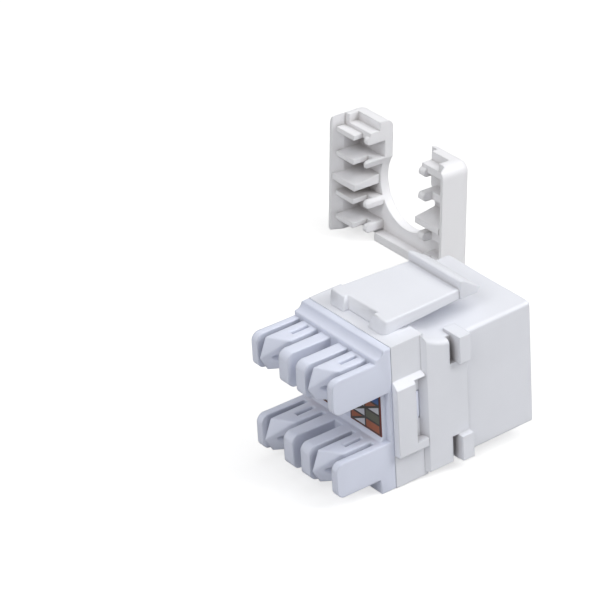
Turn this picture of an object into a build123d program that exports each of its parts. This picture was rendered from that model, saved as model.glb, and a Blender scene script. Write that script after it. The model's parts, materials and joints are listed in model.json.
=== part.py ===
"""Keystone jack for an eight-wire network plug, with the wire cap that is pressed over its rear.

Millimetres. The origin is the centre of the nose's front face. The plug enters along +Y,
+X is the width and +Z is up, with the panel latch on top and the plug's tab notch below.
The jack stands nose-up on its lower hook and its heel, and the wire cap stands upright
beside it on the same ground.
"""

from math import atan2, cos, degrees, radians, sin, tan
import os

from build123d import *

# Nose: the part that fills the panel opening
nose_inset = 0.05
nose_height = 15.75
nose_draft = 0.15
nose_corner = 0.45
nose_edge = 0.2
nose_depth = 9.7
front_wall = 1.3

# Plug port
plug_width = 12.1
plug_height = 7.0
port_floor = 3.45
tab_wide = 6.6
tab_narrow = 4.7
tab_step = 1.7
tab_floor = 0.7
tab_open_depth = 1.5

# Shoulder behind the panel, rear section and deck
shoulder_step = 0.5
shoulder_back = 15.8
ramp_foot = 10.9
deck_height = 17.75
rear_width = 14.6
rear_drop = 0.45
rear_back = 19.85
rim_round = 0.6
corner_bevel = 0.45

# Panel stop lugs and the fixed lower hook
lug_step = 0.8
lug_length = 1.6
upper_lug_foot = 12.7
upper_lug_top = 16.1
lower_lug_foot = 0.1
lower_lug_top = 3.25
lug_pocket_length = 0.8
lug_pocket_depth = 0.9
panel_thickness = 1.6
hook_drop = 1.45
hook_width = 9.2
hook_flat = 1.2
hook_ramp = 1.3

# Side arms that hold the wire block, each with a window for the block's leg
arm_step = 0.85
arm_foot = 3.75
arm_top = 13.3
window_foot = 4.8
window_top = 12.7
window_back = 17.25

# Panel latch
latch_width = 10.0
latch_neck_width = 8.8
latch_head_width = 9.3
latch_top = 19.4
latch_fall = 0.3
latch_thickness = 1.5
latch_pivot = 17.0
latch_travel = 8.0
latch_spare_turn = 1.5
latch_clearance = 0.1
catch_gap = 0.3
crest_height = 1.0
crest_flat = 0.5
tongue_reach = 5.0
tongue_drop = 0.9
tongue_nose = 0.65
tongue_rake = 0.4
latch_back = 18.5
latch_back_draft = 0.5
latch_corner = 0.8
latch_edge = 0.2
latch_notch_width = 4.2
latch_notch_depth = 0.7

# Contact sled and the eight port contacts
fit_gap = 0.1
sled_tongue_top = 13.3
sled_tongue_thickness = 2.0
sled_front = 3.6
sled_headroom = 1.0
sled_block_front = 13.6
comb_front = 11.6
comb_foot = 7.0
comb_slot_length = 1.6
contact_count = 8
contact_pitch = 1.016
contact_width = 0.4
contact_thickness = 0.35
contact_gap = 0.05
contact_arm = 8.6
contact_droop = 20.0
tail_rise = 1.6
tail_bend = 0.4

# Circuit board
board_width = 12.4
board_foot = 1.0
board_top = 16.2
board_thickness = 1.5
tail_hole = 0.6
pin_hole = 0.84
chamber_wall = 0.2

# Wire block with its two rows of fingers
row_middle = 8.95
row_gap = 6.3
row_height = 4.3
rim_length = 1.05
rim_drop = 0.85
ledge_length = 1.1
heel_length = 2.05
heel_rise = 1.9
finger_root = 22.2
finger_tip = 28.0
finger_round = 1.0
centre_gap = 1.5
inner_slot = 2.7
outer_slot = 6.0
wire_slot = 0.7
splitter_side_tip = 27.3
splitter_point = 28.3
splitter_point_drop = 2.5
splitter_far_tip = 25.8
splitter_undercut = 1.0
groove_width = 0.5
groove_depth = 0.6
groove_length = 2.4
web_width = 13.2
web_back = 20.9
web_fillet = 0.45
side_plate = 0.5
leg_thickness = 0.65
leg_height = 3.4
leg_front = 14.9
leg_nose = 0.75
leg_nose_length = 0.95

# Slotted wire blades
blade_width = 1.7
blade_thickness = 0.5
blade_gap = 0.05
blade_tip = 25.6
blade_slit = 0.3
blade_slit_foot = 22.9
blade_mouth = 0.9
blade_pin = 0.6

# Wiring labels
label_width = 5.5
label_margin = 0.05
label_thickness = 0.12
label_middle = 3.7

# Wire cap, in its own axes: width, depth towards the fingers and height
cap_width = 21.0
cap_height = 16.0
cap_middle = 7.9
cap_plate = 1.25
cap_wall = 1.1
cap_mouth_bevel = 0.7
cap_mouth_length = 1.4
cap_corner = 1.4
cap_foot_corner = 0.4
cap_back_round = 1.1
cap_slot = 9.0
cap_hole_radius = 5.3
cap_hole_middle = 8.1
cap_sill_depth = 2.7
cap_sill_height = 1.1
cap_rib_thickness = 1.1
cap_wide_tine_depth = 5.0
cap_wide_tine_thickness = 0.65
cap_finger_depth = 4.1
cap_finger_width = 0.6
cap_finger_round = 0.5
cap_notch_width = 0.9
cap_single_finger_width = 1.0
cap_single_rib_depth = 2.7
cap_high_wall_depth = 5.2
cap_low_wall_depth = 4.5
cap_web_inset = 1.0
cap_web_root = 1.5
cap_web_tip = 0.8
cap_pocket_front = 2.1
cap_pocket_drop = 1.1
cap_pocket_inset = 1.8
cap_x = 37.6
cap_y = -18.4
cap_turn = 0.5

# Levels and places that follow from the sizes above
bottom = -nose_height / 2
top = nose_height / 2
deck = bottom + deck_height
rear_foot = bottom - rear_drop
port_foot = bottom + port_floor
port_top = port_foot + plug_height
hook_back = nose_depth - panel_thickness
hook_foot = bottom - hook_drop
row_centre = bottom + row_middle
upper_row = row_centre + row_gap / 2
lower_row = row_centre - row_gap / 2 - row_height
row_feet = (upper_row, lower_row)
slot_places = (-outer_slot, -inner_slot, inner_slot, outer_slot)
nose_width = rear_width - 2 * nose_inset
shoulder_width = rear_width + 2 * shoulder_step
lug_reach = shoulder_width / 2 + lug_step
arm_reach = rear_width / 2 + arm_step
chamber_front = shoulder_back + chamber_wall
board_front = rear_back - board_thickness
board_room = board_width / 2 + fit_gap
leg_outside = board_room + leg_thickness
sled_roof = bottom + sled_tongue_top
sled_underside = sled_roof - sled_tongue_thickness
bend_y = sled_front + sled_tongue_thickness / 2
bend_z = sled_roof - sled_tongue_thickness / 2
bend_radius = sled_tongue_thickness / 2 + contact_gap + contact_thickness / 2
heel = rear_back + heel_length
ground_slope = (rear_foot - hook_foot) / (heel - hook_back)
contact_places = [(number - (contact_count - 1) / 2) * contact_pitch for number in range(contact_count)]


def upright(y):
    """The upright plane at depth y: width and height in the plane, normal towards the plug."""
    return Plane.XZ.offset(-y)


def facet(first, second, third):
    """The plane through three points, with its normal turned towards the rear."""
    normal = (Vector(*second) - Vector(*first)).cross(Vector(*third) - Vector(*first))
    return Plane(origin=first, z_dir=normal if normal.Y > 0 else -normal)


def save(part, label):
    """Label a finished piece and write it."""
    part.label = label
    export_step(part, f"parts/{label}.step")


def housing_outside():
    """Nose, shoulder, rear section, lugs, side arms and lower hook, all solid."""
    with BuildPart() as outside:
        # Nose, slightly wider towards the panel
        with BuildSketch(upright(0)):
            RectangleRounded(nose_width, nose_height, nose_corner)
        with BuildSketch(upright(nose_depth + corner_bevel)):
            RectangleRounded(nose_width + 2 * nose_draft, nose_height, nose_corner)
        loft()
        chamfer(outside.faces().sort_by(Axis.Y)[0].edges(), nose_edge)

        # Shoulder, with the hollow ramp that climbs to the deck
        with BuildSketch(Plane.YZ):
            with BuildLine():
                ramp = TangentArc((ramp_foot, top), (shoulder_back, deck), tangent=(1, 0))
                Polyline(
                    ramp @ 1,
                    (shoulder_back, bottom),
                    (nose_depth, bottom),
                    (nose_depth, top),
                    ramp @ 0,
                )
            make_face()
        extrude(amount=shoulder_width / 2, both=True)
        corners = outside.edges().filter_by(Axis.Z).filter_by_position(Axis.Y, shoulder_back, shoulder_back)
        chamfer(corners, corner_bevel)
        arcs = outside.edges().filter_by(GeomType.CIRCLE)
        fillet(arcs.filter_by_position(Axis.Z, top, deck, inclusive=(False, True)), rim_round)

        # Narrower rear section
        with BuildSketch(upright(rear_back)):
            with BuildLine():
                Polyline(
                    (-rear_width / 2, rear_foot),
                    (rear_width / 2, rear_foot),
                    (rear_width / 2, deck),
                    (-rear_width / 2, deck),
                    close=True,
                )
            make_face()
        extrude(amount=rear_back - shoulder_back + corner_bevel)

        # Stop lugs behind the panel
        lug_base = nose_width / 2 - lug_length
        with BuildSketch(upright(nose_depth)):
            for side in (-1, 1):
                for foot, head in ((upper_lug_foot, upper_lug_top), (lower_lug_foot, lower_lug_top)):
                    with Locations((side * (lug_base + lug_reach) / 2, bottom + (foot + head) / 2)):
                        Rectangle(lug_reach - lug_base, head - foot)
        extrude(amount=-lug_length)

        # Side arms, bevelled at the top
        bevel = arm_reach - rear_width / 2
        with BuildSketch(upright(rear_back)):
            with BuildLine():
                Polyline(
                    (-arm_reach, bottom + arm_foot),
                    (arm_reach, bottom + arm_foot),
                    (arm_reach, bottom + arm_top - bevel),
                    (arm_reach - bevel, bottom + arm_top),
                    (bevel - arm_reach, bottom + arm_top),
                    (-arm_reach, bottom + arm_top - bevel),
                    close=True,
                )
            make_face()
        extrude(amount=rear_back - shoulder_back + fit_gap)

        # Fixed hook under the nose
        with BuildSketch(Plane.YZ):
            with BuildLine():
                Polyline(
                    (hook_back, bottom + fit_gap),
                    (hook_back, hook_foot),
                    (hook_back - hook_flat, hook_foot),
                    (hook_back - hook_flat - hook_ramp, bottom + fit_gap),
                    close=True,
                )
            make_face()
        extrude(amount=hook_width / 2, both=True)
    return outside.part


def housing_hollow():
    """Everything that is open in the housing, as one solid to take away."""
    roof = sled_roof + sled_headroom
    with BuildPart() as hollow:
        # Plug port, with the stepped notch for the plug's tab
        with BuildSketch(upright(-fit_gap)):
            with BuildLine():
                Polyline(
                    (0, port_top),
                    (plug_width / 2, port_top),
                    (plug_width / 2, port_foot),
                    (tab_wide / 2, port_foot),
                    (tab_wide / 2, port_foot - tab_step),
                    (tab_narrow / 2, port_foot - tab_step),
                    (tab_narrow / 2, bottom + tab_floor),
                    (0, bottom + tab_floor),
                )
                mirror(about=Plane.YZ)
            make_face()
        extrude(amount=-sled_block_front - fit_gap)
        with BuildSketch(upright(-fit_gap)):
            with Locations((0, bottom)):
                Rectangle(tab_narrow, 2 * tab_floor)
        extrude(amount=-tab_open_depth - fit_gap)

        # Space of the contact sled, open to the port below it
        with BuildSketch(Plane.YZ):
            with BuildLine():
                Polyline(
                    (front_wall, port_top),
                    (front_wall, roof),
                    (chamber_front, roof),
                    (chamber_front, port_foot),
                    (sled_block_front, port_foot),
                    (sled_block_front, port_top),
                    close=True,
                )
            make_face()
        extrude(amount=plug_width / 2, both=True)

        # Board chamber, open at the rear
        with BuildSketch(upright(rear_back)):
            with Locations((0, bottom + (board_foot + board_top) / 2)):
                Rectangle(2 * board_room, board_top - board_foot + 2 * fit_gap)
            with Locations((0, row_centre)):
                Rectangle(2 * (leg_outside + fit_gap), leg_height + 2 * fit_gap)
        extrude(amount=rear_back - chamber_front)

        # Channels for the block's legs and the windows that their noses catch in
        with BuildSketch(upright(rear_back)):
            with Locations((0, row_centre)):
                Rectangle(2 * (leg_outside + fit_gap), leg_height + 2 * fit_gap)
        extrude(amount=rear_back - leg_front + fit_gap)
        bevel_line = shoulder_width / 2 - corner_bevel + shoulder_back
        window_floor = leg_outside + fit_gap
        window_reach = arm_reach + fit_gap
        for side in (-1, 1):
            with BuildSketch(Plane.XY.offset(bottom + window_foot)):
                with BuildLine():
                    Polyline(
                        (side * window_floor, window_back),
                        (side * window_floor, bevel_line - window_floor),
                        (side * window_reach, bevel_line - window_reach),
                        (side * window_reach, window_back),
                        close=True,
                    )
                make_face()
            extrude(amount=window_top - window_foot)

        # Pockets right behind the lugs, the upper ones open above and the lower ones below
        pocket_floor = shoulder_width / 2 - lug_pocket_depth
        with BuildSketch(upright(nose_depth + lug_length)):
            for side in (-1, 1):
                for foot, head in ((upper_lug_foot, deck_height), (-fit_gap, lower_lug_top)):
                    with Locations((side * (pocket_floor + lug_reach) / 2, bottom + (foot + head) / 2)):
                        Rectangle(lug_reach - pocket_floor, head - foot)
        extrude(amount=-lug_pocket_length)

        # Relief that lets the pressed latch turn at its root
        relief_length = latch_pivot - shoulder_back + corner_bevel
        relief_drop = relief_length * tan(radians(latch_travel + latch_spare_turn))
        with BuildSketch(Plane.YZ):
            with BuildLine():
                Polyline(
                    (latch_pivot, deck),
                    (latch_pivot - relief_length, deck),
                    (latch_pivot - relief_length, deck - relief_drop),
                    close=True,
                )
            make_face()
        extrude(amount=latch_width / 2 + latch_clearance, both=True)
    return hollow.part


def make_housing():
    """The one-piece moulded body."""
    outside = housing_outside()
    hollow = housing_hollow()
    with BuildPart() as housing:
        add(outside)
        add(hollow, mode=Mode.SUBTRACT)
    save(housing.part, "housing")


def make_latch():
    """The flexing latch: tongue, catch, lever and the pad that it bends at."""
    lever = bottom + latch_top
    catch_back = hook_back - catch_gap
    catch_foot = lever - latch_fall
    crest = catch_foot + crest_height
    crest_front = catch_back - crest_flat
    tongue_top = lever - tongue_drop
    pad_back = latch_back + latch_back_draft
    with BuildPart() as latch:
        with BuildSketch(Plane.YZ):
            with BuildLine():
                Polyline(
                    (pad_back, deck),
                    (latch_back, lever),
                    (catch_back, catch_foot),
                    (catch_back, crest),
                    (crest_front, crest),
                    (tongue_reach, tongue_top),
                    (tongue_reach + tongue_rake, tongue_top - tongue_nose),
                    (tongue_reach + latch_thickness, lever - latch_thickness),
                    (shoulder_back, deck),
                    close=True,
                )
            make_face()
        extrude(amount=latch_width / 2, both=True)

        # Seen from above the lever narrows towards its wider head, and its rear corners are round
        with BuildSketch(Plane.XY.offset(deck - latch_thickness)):
            with BuildLine():
                Polyline(
                    (0, pad_back),
                    (latch_width / 2, pad_back),
                    (latch_neck_width / 2, catch_back),
                    (latch_head_width / 2, catch_back),
                    (latch_head_width / 2, tongue_reach),
                    (0, tongue_reach),
                )
                mirror(about=Plane.YZ)
            plan = make_face()
            fillet(plan.vertices().group_by(Axis.Y)[-1], latch_corner)
        extrude(amount=crest - deck + latch_thickness, mode=Mode.INTERSECT)
        lever_top = latch.faces().filter_by(GeomType.PLANE).sort_by(SortBy.AREA)[-2:].sort_by(Axis.Z)[-1]
        fillet(lever_top.edges().sort_by(Axis.Y)[1:], latch_edge)

        # Step in the middle of the pad's back, drafted like the rest of it
        draft = degrees(atan2(latch_back_draft, lever - deck))
        with BuildSketch(Plane.XY.offset(deck)):
            with Locations((0, pad_back)):
                Rectangle(latch_notch_width, 2 * latch_notch_depth)
        extrude(amount=lever - deck, taper=-draft, mode=Mode.SUBTRACT)
    save(latch.part, "panel_latch")


def make_sled():
    """The insert that carries the contacts: rounded tongue, comb and rear block."""
    with BuildPart() as sled:
        with BuildSketch(Plane.YZ):
            with BuildLine():
                nose = CenterArc((bend_y, bend_z), sled_tongue_thickness / 2, 90, 180)
                Polyline(
                    nose @ 1,
                    (comb_front, sled_underside),
                    (comb_front, bottom + comb_foot),
                    (sled_block_front, bottom + comb_foot),
                    (sled_block_front, port_foot),
                    (board_front, port_foot),
                    (board_front, sled_roof),
                    nose @ 0,
                )
            make_face()
        extrude(amount=plug_width / 2 - fit_gap, both=True)

        # One slot in the comb for each contact's free end
        with BuildSketch(upright(comb_front)):
            with Locations([(place, sled_underside) for place in contact_places]):
                Rectangle(
                    contact_width + 2 * fit_gap,
                    sled_underside - bottom - comb_foot,
                    align=(Align.CENTER, Align.MAX),
                )
        extrude(amount=-comb_slot_length, mode=Mode.SUBTRACT)
    save(sled.part, "contact_sled")


def make_port_contact(number, place):
    """The sprung part of one contact: its bend round the tongue and its drooping arm."""
    droop = radians(contact_droop)
    with BuildPart() as contact:
        with BuildSketch(Plane.YZ.offset(place)):
            with BuildLine():
                bend = CenterArc((bend_y, bend_z), bend_radius, 186, 84 - contact_droop)
                Line(bend @ 1, bend @ 1 + Vector(cos(droop), -sin(droop)) * contact_arm)
            trace(line_width=contact_thickness)
        extrude(amount=contact_width / 2, both=True)
    save(contact.part, f"port_contact_{number}")


def tail_level(number):
    """Height of a contact's tail in the board: every second one is stepped up."""
    return bend_z + bend_radius + tail_rise * (number % 2)


def make_contact_tails():
    """The fixed part of the eight contacts, from the tongue's nose back into the board."""
    step_front = chamber_front + tail_bend
    with BuildPart() as tails:
        for number, place in enumerate(contact_places):
            with BuildSketch(Plane.YZ.offset(place)):
                with BuildLine():
                    bend = CenterArc((bend_y, bend_z), bend_radius, 182, -92)
                    if tail_level(number) == bend_z + bend_radius:
                        Line(bend @ 1, (rear_back, tail_level(number)))
                    else:
                        FilletPolyline(
                            bend @ 1,
                            (step_front, bend_z + bend_radius),
                            (step_front + tail_rise / 2, tail_level(number)),
                            (rear_back, tail_level(number)),
                            radius=tail_bend,
                        )
                trace(line_width=contact_thickness)
            extrude(amount=contact_width / 2, both=True)
    save(tails.part, "contact_tails")


def pin_place(slot):
    """A blade's pin is on the side of the blade that is nearer the middle."""
    offset = (blade_width - blade_pin) / 2
    return slot - offset if slot > 0 else slot + offset


def make_board():
    """The upright circuit board, drilled for the contact tails and the blade pins."""
    with BuildPart() as board:
        with BuildSketch(upright(board_front)):
            with Locations((0, bottom + (board_foot + board_top) / 2)):
                Rectangle(board_width, board_top - board_foot)
            with Locations([(place, tail_level(number)) for number, place in enumerate(contact_places)]):
                Circle(tail_hole / 2, mode=Mode.SUBTRACT)
            pins = [(pin_place(slot), foot + row_height / 2) for slot in slot_places for foot in row_feet]
            with Locations(pins):
                Circle(pin_hole / 2, mode=Mode.SUBTRACT)
        extrude(amount=-board_thickness)
    save(board.part, "circuit_board")


def splitter(low_x, high_x, foot):
    """One splitter finger: a bar cut by two slanting facets to a point on its +X side."""
    head = foot + row_height
    side_tip = (high_x, splitter_side_tip, head)
    point = (high_x, splitter_point, head - splitter_point_drop)
    far_tip = (low_x, splitter_far_tip, head)
    under_tip = (high_x, splitter_point - splitter_undercut, foot)
    with BuildPart() as bar:
        with BuildSketch(Plane.XY.offset(foot)):
            with BuildLine():
                Polyline(
                    (low_x, web_back),
                    (high_x, web_back),
                    (high_x, splitter_point),
                    (low_x, splitter_point),
                    close=True,
                )
            make_face()
        extrude(amount=row_height)
        split(bisect_by=facet(side_tip, point, far_tip), keep=Keep.BOTTOM)
        split(bisect_by=facet(far_tip, point, under_tip), keep=Keep.BOTTOM)
        # Short groove in the root of its top face
        with BuildSketch(Plane.XY.offset(head)):
            with Locations(((low_x + high_x) / 2, finger_root + groove_length / 2)):
                Rectangle(groove_width, groove_length)
        extrude(amount=-groove_depth, mode=Mode.SUBTRACT)
    return bar.part


def make_wire_block():
    """The block that takes the wires: flange, two rows of fingers and two clip legs."""
    half = rear_width / 2
    rim = rear_back + rim_length
    flange_back = rear_back + rim_length + ledge_length
    bar_low = inner_slot + wire_slot / 2
    bar_high = outer_slot - wire_slot / 2
    bar = bar_high - bar_low
    splitters = [splitter(low, low + bar, foot) for low in (-bar_high, bar_low) for foot in row_feet]
    with BuildPart() as block:
        # Flange, with the scooped rim above and the heel below
        with BuildSketch(Plane.YZ):
            with BuildLine():
                scoop = RadiusArc((rim, deck), (rim + rim_drop, deck - rim_drop), -rim_drop)
                Polyline(
                    scoop @ 1,
                    (flange_back, deck - rim_drop),
                    (flange_back, rear_foot + heel_rise),
                    (heel, rear_foot),
                    (rear_back, rear_foot),
                    (rear_back, deck),
                    scoop @ 0,
                )
            make_face()
        extrude(amount=half, both=True)

        # Plain fingers: one at each end of a row and two in its middle
        end_width = half - outer_slot - wire_slot / 2
        middle_width = inner_slot - (wire_slot + centre_gap) / 2
        for side in (-1, 1):
            end_plane = Plane.YZ.offset(side * (half - end_width / 2))
            middle_plane = Plane.YZ.offset(side * (centre_gap + middle_width) / 2)
            for foot in row_feet:
                for plane, width in ((end_plane, end_width), (middle_plane, middle_width)):
                    with BuildSketch(plane):
                        with BuildLine():
                            outline = FilletPolyline(
                                (web_back, foot),
                                (finger_tip, foot),
                                (finger_tip, foot + row_height),
                                (web_back, foot + row_height),
                                radius=finger_round,
                            )
                            Line(outline @ 1, outline @ 0)
                        make_face()
                    extrude(amount=width / 2, both=True)
        add(splitters)

        # Space for the cable between the rows, with fillets at its root
        with BuildSketch(Plane.YZ):
            with BuildLine():
                Polyline(
                    (web_back, upper_row - web_fillet),
                    (web_back + web_fillet, upper_row),
                    (finger_tip, upper_row),
                    (finger_tip, upper_row - row_gap),
                    (web_back + web_fillet, upper_row - row_gap),
                    (web_back, upper_row - row_gap + web_fillet),
                    close=True,
                )
            make_face()
        extrude(amount=half, both=True, mode=Mode.SUBTRACT)
        with BuildSketch(upright(rear_back + side_plate)):
            with Locations((-half, row_centre), (half, row_centre)):
                Rectangle(rear_width - web_width, row_gap)
        extrude(amount=-finger_tip, mode=Mode.SUBTRACT)

        # Channels that the blades stand in
        with BuildSketch(upright(rear_back)):
            with Locations([(slot, foot + row_height / 2) for slot in slot_places for foot in row_feet]):
                Rectangle(blade_width + 2 * blade_gap, blade_thickness + 2 * blade_gap)
        extrude(amount=rear_back - blade_tip - blade_gap, mode=Mode.SUBTRACT)

        # Clip legs that reach forward into the housing, each with a nose at its end
        for side in (-1, 1):
            with BuildSketch(Plane.XY.offset(row_centre - leg_height / 2)):
                with BuildLine():
                    Polyline(
                        (side * board_room, rear_back),
                        (side * board_room, leg_front),
                        (side * leg_outside, leg_front),
                        (side * leg_outside, chamber_front),
                        (side * (leg_outside + leg_nose), chamber_front + leg_nose_length),
                        (side * leg_outside, chamber_front + leg_nose_length),
                        (side * leg_outside, rear_back),
                        close=True,
                    )
                make_face()
            extrude(amount=leg_height)
    save(block.part, "wire_block")


def make_blade(number, slot, foot):
    """One slotted blade: pin, shoulder and two tines with a wire slit between them."""
    shoulder = rear_back + blade_gap
    offset = pin_place(slot) - slot
    with BuildPart() as blade:
        with BuildSketch(Plane.XY.offset(foot + row_height / 2)):
            with BuildLine():
                Polyline(
                    (slot - blade_width / 2, shoulder),
                    (slot + blade_width / 2, shoulder),
                    (slot + blade_width / 2, blade_tip),
                    (slot + blade_mouth / 2, blade_tip),
                    (slot + blade_slit / 2, blade_tip - blade_mouth),
                    (slot + blade_slit / 2, blade_slit_foot),
                    (slot - blade_slit / 2, blade_slit_foot),
                    (slot - blade_slit / 2, blade_tip - blade_mouth),
                    (slot - blade_mouth / 2, blade_tip),
                    (slot - blade_width / 2, blade_tip),
                    close=True,
                )
            make_face()
            with Locations((slot + offset, shoulder)):
                Rectangle(blade_pin, shoulder - board_front, align=(Align.CENTER, Align.MAX))
        extrude(amount=blade_thickness / 2, both=True)
    save(blade.part, f"wire_blade_{number}")


def make_label(name, side):
    """One thin wiring label on the wall between the rows."""
    with BuildPart() as label:
        with BuildSketch(upright(web_back)):
            with Locations((side * label_middle, row_centre)):
                Rectangle(label_width, row_gap - 2 * web_fillet - 2 * label_margin)
        extrude(amount=-label_thickness)
    save(label.part, name)


def forked_rib(slot):
    """A rib of the upper row's tower: a wide tine and a finger, with the blade's notch between them."""
    level = cap_middle + slot
    outer = cap_width / 2 - cap_wall
    inner = cap_slot / 2
    finger = inner + cap_finger_width
    with BuildPart() as rib:
        with BuildSketch(Plane.YZ.offset(inner)):
            with Locations((cap_finger_depth / 2, level)):
                Rectangle(cap_finger_depth, cap_rib_thickness)
        extrude(amount=cap_finger_width)
        fillet(rib.edges().filter_by(Axis.X).group_by(Axis.Y)[-1], cap_finger_round)
        with BuildSketch(Plane.XY.offset(level + cap_rib_thickness / 2)):
            with Locations(((outer + finger + cap_notch_width) / 2, cap_wide_tine_depth / 2)):
                Rectangle(outer - finger - cap_notch_width, cap_wide_tine_depth)
        extrude(amount=-cap_wide_tine_thickness)
        with BuildSketch(Plane.XY.offset(level)):
            with Locations(((outer + inner) / 2, cap_single_rib_depth / 2)):
                Rectangle(outer - inner, cap_single_rib_depth)
        extrude(amount=cap_rib_thickness / 2, both=True)
    return rib.part


def single_rib(slot, finger):
    """A rib of the lower row's tower: one finger beside the blade, on a rib that is less deep."""
    level = cap_middle + slot
    outer = cap_width / 2 - cap_wall
    with BuildPart() as rib:
        with BuildSketch(Plane.YZ.offset(-finger)):
            with Locations((cap_finger_depth / 2, level)):
                Rectangle(cap_finger_depth, cap_rib_thickness)
        extrude(amount=-cap_single_finger_width)
        fillet(rib.edges().filter_by(Axis.X).group_by(Axis.Y)[-1], cap_finger_round)
        with BuildSketch(Plane.XY.offset(level)):
            with Locations((-(outer + finger) / 2, cap_single_rib_depth / 2)):
                Rectangle(outer - finger, cap_single_rib_depth)
        extrude(amount=cap_rib_thickness / 2, both=True)
    return rib.part


def cap_outline():
    """The cap's outline, rounder above than below, in its own plane."""
    with BuildSketch() as outline:
        with Locations((0, cap_height / 2)):
            Rectangle(cap_width, cap_height)
        fillet(outline.vertices().group_by(Axis.Y)[-1], cap_corner)
        fillet(outline.vertices().group_by(Axis.Y)[0], cap_foot_corner)
    return outline.sketch


def cap_tower(side, wall_depth, top_start, ribs):
    """One tower of the cap: its outer wall, its ribs, the web in their middle and the top wall."""
    outline = cap_outline()
    outer = cap_width / 2 - cap_wall / 2
    inner = cap_slot / 2
    top_rib = cap_middle + slot_places[-1]
    with BuildPart() as tower:
        # Outer wall with the rounded corners of the plate, bevelled inside its mouth
        with BuildSketch(upright(0)):
            add(outline)
            with Locations((-side * cap_wall, cap_height / 2)):
                Rectangle(cap_width, cap_height, mode=Mode.SUBTRACT)
        extrude(amount=-wall_depth)
        with BuildSketch(Plane.XY):
            with BuildLine():
                Polyline(
                    (side * (cap_width / 2 - cap_wall), wall_depth),
                    (side * (cap_width / 2 - cap_wall + cap_mouth_bevel), wall_depth),
                    (side * (cap_width / 2 - cap_wall), wall_depth - cap_mouth_length),
                    close=True,
                )
            make_face()
        extrude(amount=cap_height, mode=Mode.SUBTRACT)
        add(ribs)

        # Top wall, with a pocket in front of its rim
        with BuildSketch(upright(0)):
            add(outline)
            with Locations((side * (top_start + cap_width / 2), top_rib)):
                Rectangle(cap_width, cap_height, align=(Align.CENTER, Align.MIN), mode=Mode.INTERSECT)
        extrude(amount=-cap_finger_depth + cap_finger_round)
        with BuildSketch(upright(cap_pocket_front)):
            with Locations((side * inner, cap_height)):
                Rectangle(2 * (cap_width / 2 - cap_pocket_inset - inner), 2 * cap_pocket_drop)
        extrude(amount=-cap_high_wall_depth, mode=Mode.SUBTRACT)

        # Tapered web that fits between the two middle fingers
        with BuildSketch(Plane.YZ.offset(side * (inner + cap_web_inset))):
            with BuildLine():
                Polyline(
                    (0, cap_middle - cap_web_root / 2),
                    (0, cap_middle + cap_web_root / 2),
                    (wall_depth, cap_middle),
                    (wall_depth, cap_middle - cap_web_tip),
                    close=True,
                )
            make_face()
        extrude(amount=side * (outer - inner - cap_web_inset))
    return tower.part


def cap_upright():
    """The wire cap in its own axes, standing at the origin with its plate at depth 0."""
    outline = cap_outline()
    inner = cap_slot / 2
    finger = inner + cap_finger_width + cap_notch_width - cap_single_finger_width / 2
    forked_ribs = [forked_rib(slot) for slot in slot_places]
    single_ribs = [single_rib(slot, finger) for slot in slot_places]
    high_tower = cap_tower(1, cap_high_wall_depth, inner, forked_ribs)
    low_tower = cap_tower(-1, cap_low_wall_depth, finger, single_ribs)
    with BuildPart() as cap:
        # Plate, with the sill below the cable hole
        with BuildSketch(upright(0)):
            add(outline)
        extrude(amount=-cap_plate)
        with BuildSketch(upright(0)):
            with Locations((0, cap_sill_height / 2)):
                Rectangle(cap_slot, cap_sill_height)
        extrude(amount=-cap_sill_depth)
        add(high_tower)
        add(low_tower)

        # Round outer edges of the back
        uprights = cap.edges().filter_by(Axis.Z).filter_by_position(Axis.Y, 0, 0)
        fillet([uprights.sort_by(Axis.X)[0], uprights.sort_by(Axis.X)[-1]], cap_back_round)

        # Cable hole and the slot that opens it upwards
        with BuildSketch(upright(0)):
            with Locations((0, cap_hole_middle)):
                Circle(cap_hole_radius)
                Rectangle(cap_slot, cap_height, align=(Align.CENTER, Align.MIN))
        extrude(amount=-cap_high_wall_depth, mode=Mode.SUBTRACT)
    return cap.part


def make_wire_cap():
    """The wire cap where it stands, upright on the ground that the jack rests on."""
    upright_cap = cap_upright()
    ground_level = rear_foot + ground_slope * (cap_y - heel)
    turn = radians(cap_turn)
    stand = Plane(
        origin=(cap_x, cap_y, ground_level),
        x_dir=(cos(turn), sin(turn), ground_slope * sin(turn)),
        z_dir=(0, -ground_slope, 1),
    )
    with BuildPart(stand) as wire_cap:
        add(upright_cap)
    save(wire_cap.part, "wire_cap")


os.makedirs("parts", exist_ok=True)
make_housing()
make_latch()
make_sled()
for index, place in enumerate(contact_places, start=1):
    make_port_contact(index, place)
make_contact_tails()
make_board()
make_wire_block()
blade_places = [(slot, foot) for foot in row_feet for slot in slot_places]
for index, (slot, foot) in enumerate(blade_places, start=1):
    make_blade(index, slot, foot)
make_label("wiring_label_left", -1)
make_label("wiring_label_right", 1)
make_wire_cap()
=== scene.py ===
"""Looks of the keystone jack and its loose wire cap: materials, printed labels, light and camera.

Everything is in metres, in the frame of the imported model: +X is the width, the plug enters
along +Y and +Z is up. The jack leans on its lower hook and its heel, so the ground slopes.
"""

import json
import math

import bmesh
import bpy
from mathutils import Matrix, Vector


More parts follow.
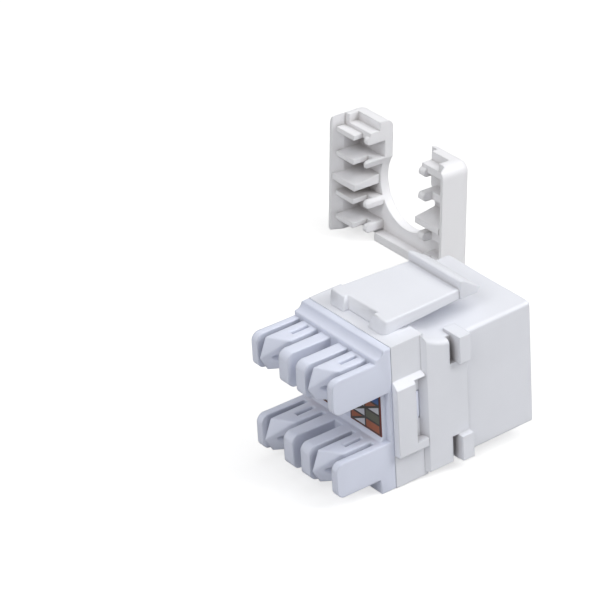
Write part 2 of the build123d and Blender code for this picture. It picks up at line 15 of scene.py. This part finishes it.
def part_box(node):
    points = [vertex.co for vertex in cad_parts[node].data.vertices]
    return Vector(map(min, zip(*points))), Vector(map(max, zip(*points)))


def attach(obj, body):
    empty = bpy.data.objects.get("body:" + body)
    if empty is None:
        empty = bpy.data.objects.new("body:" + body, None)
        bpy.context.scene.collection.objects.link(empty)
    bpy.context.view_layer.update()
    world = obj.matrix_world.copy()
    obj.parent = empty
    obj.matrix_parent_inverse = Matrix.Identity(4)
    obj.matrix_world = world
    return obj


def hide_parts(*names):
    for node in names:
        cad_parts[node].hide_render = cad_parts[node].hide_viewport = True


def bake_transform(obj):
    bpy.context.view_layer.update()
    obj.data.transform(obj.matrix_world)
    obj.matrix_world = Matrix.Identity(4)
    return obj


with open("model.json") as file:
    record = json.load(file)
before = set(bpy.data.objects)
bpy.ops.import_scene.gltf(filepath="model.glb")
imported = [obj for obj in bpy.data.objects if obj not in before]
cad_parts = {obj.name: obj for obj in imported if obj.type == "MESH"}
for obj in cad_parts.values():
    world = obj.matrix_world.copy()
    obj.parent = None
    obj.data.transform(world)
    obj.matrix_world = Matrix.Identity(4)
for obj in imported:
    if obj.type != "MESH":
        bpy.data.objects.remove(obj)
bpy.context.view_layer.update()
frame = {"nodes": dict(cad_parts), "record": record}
nodes = frame["nodes"]
slot_of = {part["node"]: part["material_slot"] for part in frame["record"]["subparts"]}

MM = 0.001

# Places of the ground's two contact lines along the jack
HOOK_Y = 8.1 * MM
HEEL_Y = 21.9 * MM

# The camera, fitted to the edges of the jack in the photograph
CAMERA_PLACE = Vector((-0.3044, 0.2442, 0.2339))
CAMERA_TARGET = Vector((0.01046, 0.01883, 0.00775))
CAMERA_ROLL = math.radians(0.46)
CAMERA_LENS = 239.9
SENSOR_WIDTH = 36.0
NEAREST_SEEN = 0.01
FARTHEST_SEEN = 20.0

# Plain white surroundings and their light
SURROUND_LIGHT = 0.28
FLOOR_COLOUR = (0.55, 0.55, 0.55)
FLOOR_GLOW = 0.62
STAGE_SIZE = 3.0

# Name, place, size and power of each softbox: two large ones above and behind the fingers,
# and a small near one on the side with the arm that the camera sees
SOFTBOX_TARGET = Vector((0.010, 0.010, 0.0))
SOFTBOXES = (
    ("top_softbox", Vector((-0.12, -0.25, 0.86)), 0.7, 2.9),
    ("rear_softbox", Vector((-0.22, 0.58, 0.55)), 0.5, 2.6),
    ("right_softbox", Vector((-0.19, -0.17, 0.18)), 0.14, 0.41),
)

# Plastic: the shell's white and satin, faint clouds in colour and gloss, fine grain and soft edges
SHELL_WHITE = (0.80, 0.815, 0.87)
SATIN = 0.42
PLASTIC_IOR = 1.49
PLASTIC_SPECULAR = 0.45
CLOUD_SCALE = 140.0
CLOUD_DETAIL = 3.0
CLOUD_START = 0.3
CLOUD_END = 0.7
CLOUD_GLOSS = 0.05
GRAIN_SCALE = 5200.0
GRAIN_DETAIL = 2.0
GRAIN_STRENGTH = 0.12
GRAIN_HEIGHT = 0.02 * MM
EDGE_SAMPLES = 6

# Painted shade: how much darker and warmer the plastic's colour is made deep in its recesses
PAINTED_RECESS_SHADE = (0.50, 0.47, 0.45)
PAINTED_SLOT_SHADE = (0.78, 0.78, 0.78)
RECESS_REACH = 2.5 * MM
RECESS_START = 0.1
RECESS_END = 0.75
RECESS_SAMPLES = 8

# Drawing marks of the plated strips
MARK_SCALE = (9000.0, 500.0, 9000.0)
MARK_DETAIL = 3.0
MARK_SHADE = 0.86
MARK_GLOSS = 0.07
MARK_STRENGTH = 0.15
MARK_HEIGHT = 0.01 * MM

# Mottle of the printed film
FILM_ROUGHNESS = 0.5
FILM_SCALE = 2500.0
FILM_DETAIL = 3.0
FILM_SHADE = 0.88

# Rounding of the long outer edges of the wire block and the latch
MERGE_REACH = 0.001 * MM
FLAT_ANGLE = math.radians(0.5)
SHARP_ANGLE = math.radians(35)
SHORT_EDGE = 0.5 * MM
ROUND_SEGMENTS = 3
EDGE_ROUNDS = {"wire_block": 0.16 * MM, "panel_latch": 0.12 * MM}

# Hollows in the splitters' lower facets
SPLITTER_MIDDLE = 4.35 * MM
SPLITTER_FEET = (4.225 * MM, -6.375 * MM)
HOLLOW_RISE = 1.75 * MM
HOLLOW_MIDDLE = 25.2 * MM
HOLLOW_DEPTH = 5.0 * MM
HOLLOW_RADIUS = 0.52 * MM
HOLLOW_END_RADIUS = 0.32 * MM
HOLLOW_SEGMENTS = 24

# The stretch of the latch that bends, from its root forwards
LATCH_ROOT = 19.0 * MM
LATCH_BEND_END = 13.0 * MM
LATCH_BEND_STEPS = 8

# Wiring labels: outlined cells, either plain or cut by a diagonal into a colour and white
LABEL_LINE = 0.26 * MM
LABEL_BORDER = 0.15 * MM
INK_THICKNESS = 0.02 * MM
# Paper and colour inks are darker than their print: painted shade of the recess between the finger rows
# where the labels sit; line and border are the print's own dark colours
INKS_WITH_PAINTED_SHADE = {
    "paper": (0.62, 0.62, 0.66),
    "line": (0.055, 0.05, 0.04),
    "border": (0.16, 0.03, 0.02),
    "orange": (0.36, 0.11, 0.05),
    "olive": (0.12, 0.12, 0.085),
    "green": (0.05, 0.20, 0.10),
    "blue": (0.05, 0.12, 0.34),
    "brown": (0.20, 0.09, 0.05),
}
# Colours above and below each cell's diagonal, from the bottom, in the columns from the middle outwards
LABEL_CELLS = (
    (("orange", "paper"), ("blue", "paper"), ("green", "paper"), ("brown", "paper")),
    (("orange", "orange"), ("olive", "olive"), ("orange", "paper"), ("blue", "blue")),
)


def ground_plane():
    """The upward normal of the ground that hook and heel stand on, and a point on it."""
    hook_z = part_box("housing")[0].z
    heel_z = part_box("wire_block")[0].z
    slope = (heel_z - hook_z) / (HEEL_Y - HOOK_Y)
    return Vector((0, -slope, 1)).normalized(), Vector((0, HEEL_Y, heel_z))


def link_mesh(name, mesh_data, materials):
    """Make an object from a bmesh, at the origin and unrotated."""
    mesh = bpy.data.meshes.new(name)
    mesh_data.to_mesh(mesh)
    mesh_data.free()
    obj = bpy.data.objects.new(name, mesh)
    bpy.context.scene.collection.objects.link(obj)
    for material in materials:
        mesh.materials.append(material)
    return obj


def new_material(name, **settings):
    """A material with one Principled shader, whose sockets take the settings."""
    material = bpy.data.materials.new(name)
    material.use_nodes = True
    shader = material.node_tree.nodes["Principled BSDF"]
    for socket, value in settings.items():
        shader.inputs[socket.replace("_", " ")].default_value = value
    return material, material.node_tree, shader


def add_node(tree, kind, x, y, **inputs):
    """Add a shader node and set its inputs by name."""
    node = tree.nodes.new(kind)
    node.location = (x, y)
    for name, value in inputs.items():
        node.inputs[name.replace("_", " ")].default_value = value
    return node


def add_ramp(tree, x, y, first, last, start=0.0, end=1.0):
    """Add a ramp between two colours."""
    node = add_node(tree, "ShaderNodeValToRGB", x, y)
    low, high = node.color_ramp.elements
    low.position = start
    high.position = end
    low.color = (*first, 1)
    high.color = (*last, 1)
    return node


def join(tree, source, output, target, socket):
    """Link one shader node's output to another one's input."""
    tree.links.new(source.outputs[output], target.inputs[socket])


def shaded(colour, share):
    """A colour made darker, to a share of its light."""
    return tuple(channel * share for channel in colour)


def moulded_plastic(name, colour, roughness, mottle=0.03, edge_radius=0.12 * MM, shade=PAINTED_RECESS_SHADE):
    """Satin moulded plastic: faint mottling, uneven gloss, fine grain, soft edges and painted shade that
    darkens its recesses.
    """
    material, tree, shader = new_material(name, IOR=PLASTIC_IOR, Specular_IOR_Level=PLASTIC_SPECULAR)
    place = add_node(tree, "ShaderNodeTexCoord", -1100, 0)
    cloud = add_node(tree, "ShaderNodeTexNoise", -900, 200, Scale=CLOUD_SCALE, Detail=CLOUD_DETAIL)
    join(tree, place, "Object", cloud, "Vector")
    tint = add_ramp(tree, -600, 250, shaded(colour, 1 - mottle), colour, CLOUD_START, CLOUD_END)
    join(tree, cloud, "Fac", tint, "Fac")

    # Painted shade: the base colour is darkened and warmed where the piece's own occlusion is deep
    depth = add_node(tree, "ShaderNodeAmbientOcclusion", -900, 500, Distance=RECESS_REACH)
    depth.samples = RECESS_SAMPLES
    depth.only_local = True
    painted_shade_ramp = add_ramp(tree, -600, 500, shade, (1, 1, 1), RECESS_START, RECESS_END)
    join(tree, depth, "AO", painted_shade_ramp, "Fac")
    body = add_node(tree, "ShaderNodeMix", -250, 300)
    body.data_type = "RGBA"
    body.blend_type = "MULTIPLY"
    body.inputs["Factor"].default_value = 1.0
    join(tree, tint, "Color", body, "A")
    join(tree, painted_shade_ramp, "Color", body, "B")
    join(tree, body, "Result", shader, "Base Color")

    least = roughness - CLOUD_GLOSS
    most = roughness + CLOUD_GLOSS
    gloss = add_node(tree, "ShaderNodeMapRange", -600, 0, To_Min=least, To_Max=most)
    join(tree, cloud, "Fac", gloss, "Value")
    join(tree, gloss, "Result", shader, "Roughness")

    edge = add_node(tree, "ShaderNodeBevel", -600, -400, Radius=edge_radius)
    edge.samples = EDGE_SAMPLES
    grain = add_node(tree, "ShaderNodeTexNoise", -900, -200, Scale=GRAIN_SCALE, Detail=GRAIN_DETAIL)
    bump = add_node(tree, "ShaderNodeBump", -300, -250, Strength=GRAIN_STRENGTH, Distance=GRAIN_HEIGHT)
    join(tree, place, "Object", grain, "Vector")
    join(tree, grain, "Fac", bump, "Height")
    join(tree, edge, "Normal", bump, "Normal")
    join(tree, bump, "Normal", shader, "Normal")
    return material


def plated_metal(name, colour, roughness):
    """Plated spring metal with fine drawing marks along the strip."""
    material, tree, shader = new_material(name, Metallic=1.0)
    place = add_node(tree, "ShaderNodeTexCoord", -1100, 0)
    stretch = add_node(tree, "ShaderNodeMapping", -900, 0, Scale=MARK_SCALE)
    marks = add_node(tree, "ShaderNodeTexNoise", -700, 0, Scale=1.0, Detail=MARK_DETAIL)
    join(tree, place, "Object", stretch, "Vector")
    join(tree, stretch, "Vector", marks, "Vector")
    tint = add_ramp(tree, -450, 200, shaded(colour, MARK_SHADE), colour)
    join(tree, marks, "Fac", tint, "Fac")
    join(tree, tint, "Color", shader, "Base Color")
    least = roughness - MARK_GLOSS
    most = roughness + MARK_GLOSS
    gloss = add_node(tree, "ShaderNodeMapRange", -450, -50, To_Min=least, To_Max=most)
    join(tree, marks, "Fac", gloss, "Value")
    join(tree, gloss, "Result", shader, "Roughness")
    bump = add_node(tree, "ShaderNodeBump", -450, -300, Strength=MARK_STRENGTH, Distance=MARK_HEIGHT)
    join(tree, marks, "Fac", bump, "Height")
    join(tree, bump, "Normal", shader, "Normal")
    return material


def printed_film(name, colour):
    """Matt printed film with a faint paper mottle."""
    material, tree, shader = new_material(name, Roughness=FILM_ROUGHNESS)
    place = add_node(tree, "ShaderNodeTexCoord", -900, 0)
    cloud = add_node(tree, "ShaderNodeTexNoise", -700, 0, Scale=FILM_SCALE, Detail=FILM_DETAIL)
    join(tree, place, "Object", cloud, "Vector")
    tint = add_ramp(tree, -450, 0, shaded(colour, FILM_SHADE), colour)
    join(tree, cloud, "Fac", tint, "Fac")
    join(tree, tint, "Color", shader, "Base Color")
    return material


def dress_frame():
    """Give every CAD node its material."""
    finishes = {
        "housing_plastic": moulded_plastic("housing_white", SHELL_WHITE, SATIN, edge_radius=0.18 * MM),
        "latch_plastic": moulded_plastic("latch_white", SHELL_WHITE, SATIN, edge_radius=0.22 * MM),
        # The wire block's painted shade in its slots is lighter and neutral
        "block_plastic": moulded_plastic(
            "block_white", (0.73, 0.765, 0.89), 0.36, edge_radius=0.28 * MM, shade=PAINTED_SLOT_SHADE
        ),
        # The cap's own white, made lighter as painted light standing in for the stronger light that falls
        # on the cap
        "cap_plastic": moulded_plastic("cap_white_with_painted_light", (0.90, 0.90, 0.925), SATIN, edge_radius=0.24 * MM),
        "sled_plastic": moulded_plastic("sled_white", (0.62, 0.60, 0.57), 0.55),
        "contact_gold": plated_metal("contact_gold", (0.78, 0.60, 0.30), 0.28),
        "blade_tin": plated_metal("blade_tin", (0.62, 0.62, 0.64), 0.35),
        "board": moulded_plastic("board_green", (0.03, 0.14, 0.07), 0.35, mottle=0.2),
        "label": printed_film("label_film", INKS_WITH_PAINTED_SHADE["border"]),
    }
    for name, obj in nodes.items():
        material = finishes[slot_of[name]]
        if obj.data.materials:
            obj.data.materials[0] = material
        else:
            obj.data.materials.append(material)


def turns_outwards(edge):
    """Whether an edge is a sharp outer one."""
    return edge.is_manifold and edge.calc_face_angle_signed(0) > SHARP_ANGLE


def soften(node, round_radius):
    """Stand in for a moulded piece: the same solid with its long outer edges rounded."""
    mesh = bmesh.new()
    mesh.from_mesh(nodes[node].data)
    bmesh.ops.remove_doubles(mesh, verts=mesh.verts, dist=MERGE_REACH)
    bmesh.ops.dissolve_limit(mesh, angle_limit=FLAT_ANGLE, verts=mesh.verts, edges=mesh.edges)
    bmesh.ops.bevel(
        mesh,
        geom=[edge for edge in mesh.edges if edge.calc_length() > SHORT_EDGE and turns_outwards(edge)],
        offset=round_radius,
        offset_type="OFFSET",
        segments=ROUND_SEGMENTS,
        profile=0.5,
        affect="EDGES",
        clamp_overlap=False,
        material=-1,
    )
    piece = link_mesh(f"moulded_{node}", mesh, nodes[node].data.materials)
    piece.data.shade_smooth()
    piece.data.set_sharp_from_angle(angle=SHARP_ANGLE)
    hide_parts(node)
    return piece


def hollow_splitters(block):
    """Cut the small hollow in the lower facet of each splitter."""
    cutter = bmesh.new()
    lying = Matrix.Rotation(math.radians(-90), 4, "X")
    for side in (-1, 1):
        for foot in SPLITTER_FEET:
            place = Vector((side * SPLITTER_MIDDLE, HOLLOW_MIDDLE, foot + HOLLOW_RISE))
            bmesh.ops.create_cone(
                cutter,
                cap_ends=True,
                segments=HOLLOW_SEGMENTS,
                radius1=HOLLOW_END_RADIUS,
                radius2=HOLLOW_RADIUS,
                depth=HOLLOW_DEPTH,
                matrix=Matrix.Translation(place) @ lying,
            )
    tool = link_mesh("hollow_cutter", cutter, [])
    cut = block.modifiers.new("hollows", "BOOLEAN")
    cut.operation = "DIFFERENCE"
    cut.solver = "EXACT"
    cut.object = tool
    shown = block.evaluated_get(bpy.context.evaluated_depsgraph_get())
    mesh = bpy.data.meshes.new_from_object(shown)
    block.modifiers.clear()
    block.data = mesh
    bpy.data.objects.remove(tool)


def bend_latch(latch):
    """Cut the latch across at even steps in front of its root, so that it could curve there, and bake its
    placing into its mesh.
    """
    mesh = bmesh.new()
    mesh.from_mesh(latch.data)
    for step in range(1, LATCH_BEND_STEPS):
        place = LATCH_ROOT + (LATCH_BEND_END - LATCH_ROOT) * step / LATCH_BEND_STEPS
        everything = [*mesh.verts, *mesh.edges, *mesh.faces]
        bmesh.ops.bisect_plane(mesh, geom=everything, plane_co=(0, place, 0), plane_no=(0, 1, 0))
    mesh.to_mesh(latch.data)
    mesh.free()
    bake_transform(latch)


def print_label(side, inks):
    """Print one wiring label: a grid of cells, cut by diagonals and inset to leave dark lines."""
    low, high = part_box(f"wiring_label_{side}")
    outwards = math.copysign(1, low.x + high.x)
    width = high.x - low.x - 2 * LABEL_BORDER
    height = high.z - low.z - 2 * LABEL_BORDER
    inner = min(abs(low.x), abs(high.x)) + LABEL_BORDER
    corner = Vector((outwards * inner, high.y + INK_THICKNESS, low.z + LABEL_BORDER))
    columns = len(LABEL_CELLS)
    rows = len(LABEL_CELLS[0])
    mesh = bmesh.new()
    bmesh.ops.create_grid(mesh, x_segments=columns, y_segments=rows, size=0.5)
    upright = Matrix.Translation((0.5, 0, 0.5)) @ Matrix.Rotation(math.radians(90), 4, "X")
    spread = Matrix.Diagonal((outwards * width, 1, height, 1))
    bmesh.ops.transform(mesh, matrix=Matrix.Translation(corner) @ spread @ upright, verts=mesh.verts)

    def grid_place(point):
        """A point's place in columns from the middle outwards and in rows from the bottom."""
        offset = point - corner
        return outwards * offset.x / width * columns, offset.z / height * rows

    def colours_of(face):
        """The colours above and below the diagonal of the cell that holds a face."""
        across, up = grid_place(face.calc_center_median())
        return LABEL_CELLS[int(across)][int(up)]

    for face in list(mesh.faces):
        above, below = colours_of(face)
        if above != below:
            corners = sorted(face.verts, key=lambda vert: sum(grid_place(vert.co)))
            bmesh.ops.connect_verts(mesh, verts=[corners[0], corners[-1]])
    names = list(INKS_WITH_PAINTED_SHADE)
    for face in list(mesh.faces):
        above, below = colours_of(face)
        across, up = grid_place(face.calc_center_median())
        ink = above if up % 1 > across % 1 else below
        lines = bmesh.ops.inset_individual(
            mesh, faces=[face], thickness=LABEL_LINE / 2, use_even_offset=True
        )
        face.material_index = names.index(ink)
        for line in lines["faces"]:
            line.material_index = names.index("line")
    for face in mesh.faces:
        face.normal_update()
        if face.normal.y < 0:
            face.normal_flip()
    obj = link_mesh(f"label_print_{side}", mesh, inks)
    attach(obj, "jack")


def make_camera():
    """The photograph's camera."""
    data = bpy.data.cameras.new("camera")
    data.lens = CAMERA_LENS
    data.sensor_width = SENSOR_WIDTH
    data.clip_start = NEAREST_SEEN
    data.clip_end = FARTHEST_SEEN
    camera = bpy.data.objects.new("camera", data)
    normal, _ = ground_plane()
    forward = (CAMERA_TARGET - CAMERA_PLACE).normalized()
    right = forward.cross(normal).normalized()
    up = right.cross(forward)
    turn = Matrix.Rotation(-CAMERA_ROLL, 3, forward)
    axes = Matrix((turn @ right, turn @ up, -forward)).transposed()
    camera.matrix_world = Matrix.Translation(CAMERA_PLACE) @ axes.to_4x4()
    bpy.context.scene.collection.objects.link(camera)
    bpy.context.scene.camera = camera


def make_floor():
    """A pale floor on the ground's slope, which the camera sees as white."""
    normal, place = ground_plane()
    mesh = bmesh.new()
    bmesh.ops.create_grid(mesh, x_segments=1, y_segments=1, size=STAGE_SIZE)
    turn = normal.to_track_quat("Z", "Y").to_matrix().to_4x4()
    bmesh.ops.transform(mesh, matrix=Matrix.Translation(place) @ turn, verts=mesh.verts)
    material = bpy.data.materials.new("floor_white")
    material.use_nodes = True
    tree = material.node_tree
    tree.nodes.clear()
    body = add_node(tree, "ShaderNodeBsdfDiffuse", -400, 100, Color=(*FLOOR_COLOUR, 1))
    glow = add_node(tree, "ShaderNodeEmission", -400, -100)
    rays = add_node(tree, "ShaderNodeLightPath", -800, -100)
    level = add_node(tree, "ShaderNodeMath", -600, -100)
    level.operation = "MULTIPLY"
    level.inputs[1].default_value = FLOOR_GLOW
    both = add_node(tree, "ShaderNodeAddShader", -200, 0)
    out = add_node(tree, "ShaderNodeOutputMaterial", 0, 0)
    join(tree, rays, "Is Camera Ray", level, 0)
    join(tree, level, "Value", glow, "Strength")
    join(tree, body, "BSDF", both, 0)
    join(tree, glow, "Emission", both, 1)
    join(tree, both, "Shader", out, "Surface")
    link_mesh("floor", mesh, [material])


def make_surround():
    """White all round for the camera and in reflections, and a softer light on everything else."""
    world = bpy.data.worlds.new("surround")
    world.use_nodes = True
    bpy.context.scene.world = world
    tree = world.node_tree
    shader = tree.nodes["Background"]
    shader.inputs["Color"].default_value = (1, 1, 1, 1)
    rays = add_node(tree, "ShaderNodeLightPath", -800, 0)
    seen = add_node(tree, "ShaderNodeMath", -600, 0)
    seen.operation = "MAXIMUM"
    level = add_node(tree, "ShaderNodeMapRange", -400, 0, To_Min=SURROUND_LIGHT, To_Max=1.0)
    join(tree, rays, "Is Camera Ray", seen, 0)
    join(tree, rays, "Is Glossy Ray", seen, 1)
    join(tree, seen, "Value", level, "Value")
    join(tree, level, "Result", shader, "Strength")


def make_softbox(name, place, size, power):
    """A square softbox that points at the jack."""
    data = bpy.data.lights.new(name, "AREA")
    data.size = size
    data.energy = power
    lamp = bpy.data.objects.new(name, data)
    lamp.location = place
    lamp.rotation_euler = (SOFTBOX_TARGET - place).to_track_quat("-Z", "Y").to_euler()
    lamp.visible_camera = False
    bpy.context.scene.collection.objects.link(lamp)


make_camera()
make_floor()
make_surround()
for softbox in SOFTBOXES:
    make_softbox(*softbox)
dress_frame()
softened = {node: soften(node, radius) for node, radius in EDGE_ROUNDS.items()}
hollow_splitters(softened["wire_block"])
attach(softened["wire_block"], "jack")
bend_latch(softened["panel_latch"])
ink_materials = [printed_film(f"ink_{name}", colour) for name, colour in INKS_WITH_PAINTED_SHADE.items()]
print_label("left", ink_materials)
print_label("right", ink_materials)

bpy.context.scene.view_settings.view_transform = "Standard"
